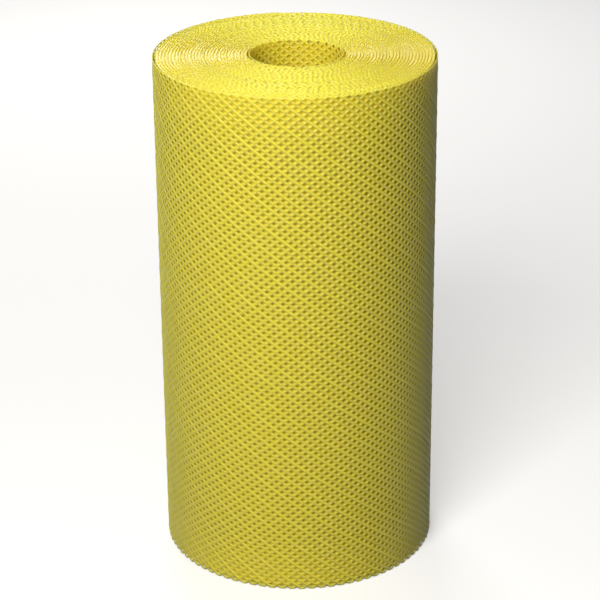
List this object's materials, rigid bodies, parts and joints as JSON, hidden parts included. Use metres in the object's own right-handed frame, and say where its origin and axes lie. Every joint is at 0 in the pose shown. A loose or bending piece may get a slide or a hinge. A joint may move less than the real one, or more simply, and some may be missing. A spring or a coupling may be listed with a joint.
{
  "type": "roll of plastic lath",
  "caption": "Roll of diamond-mesh plastic lath wound on itself with an open bore, standing on its end, used as the base that render or plaster is keyed to.",
  "frame": {"origin": "middle of the bottom end, on the roll's axis, where the roll stands", "axes": "+Z along the roll's axis, up; -Y is the side that the picture shows"},
  "size_m": [0.32, 0.32, 0.6],
  "materials": {
    "lath": "translucent yellow extruded polyethylene net, satin, as extruded"
  },
  "bodies": {
    "root": {"lath_roll": "lath"}
  },
  "joints": []
}
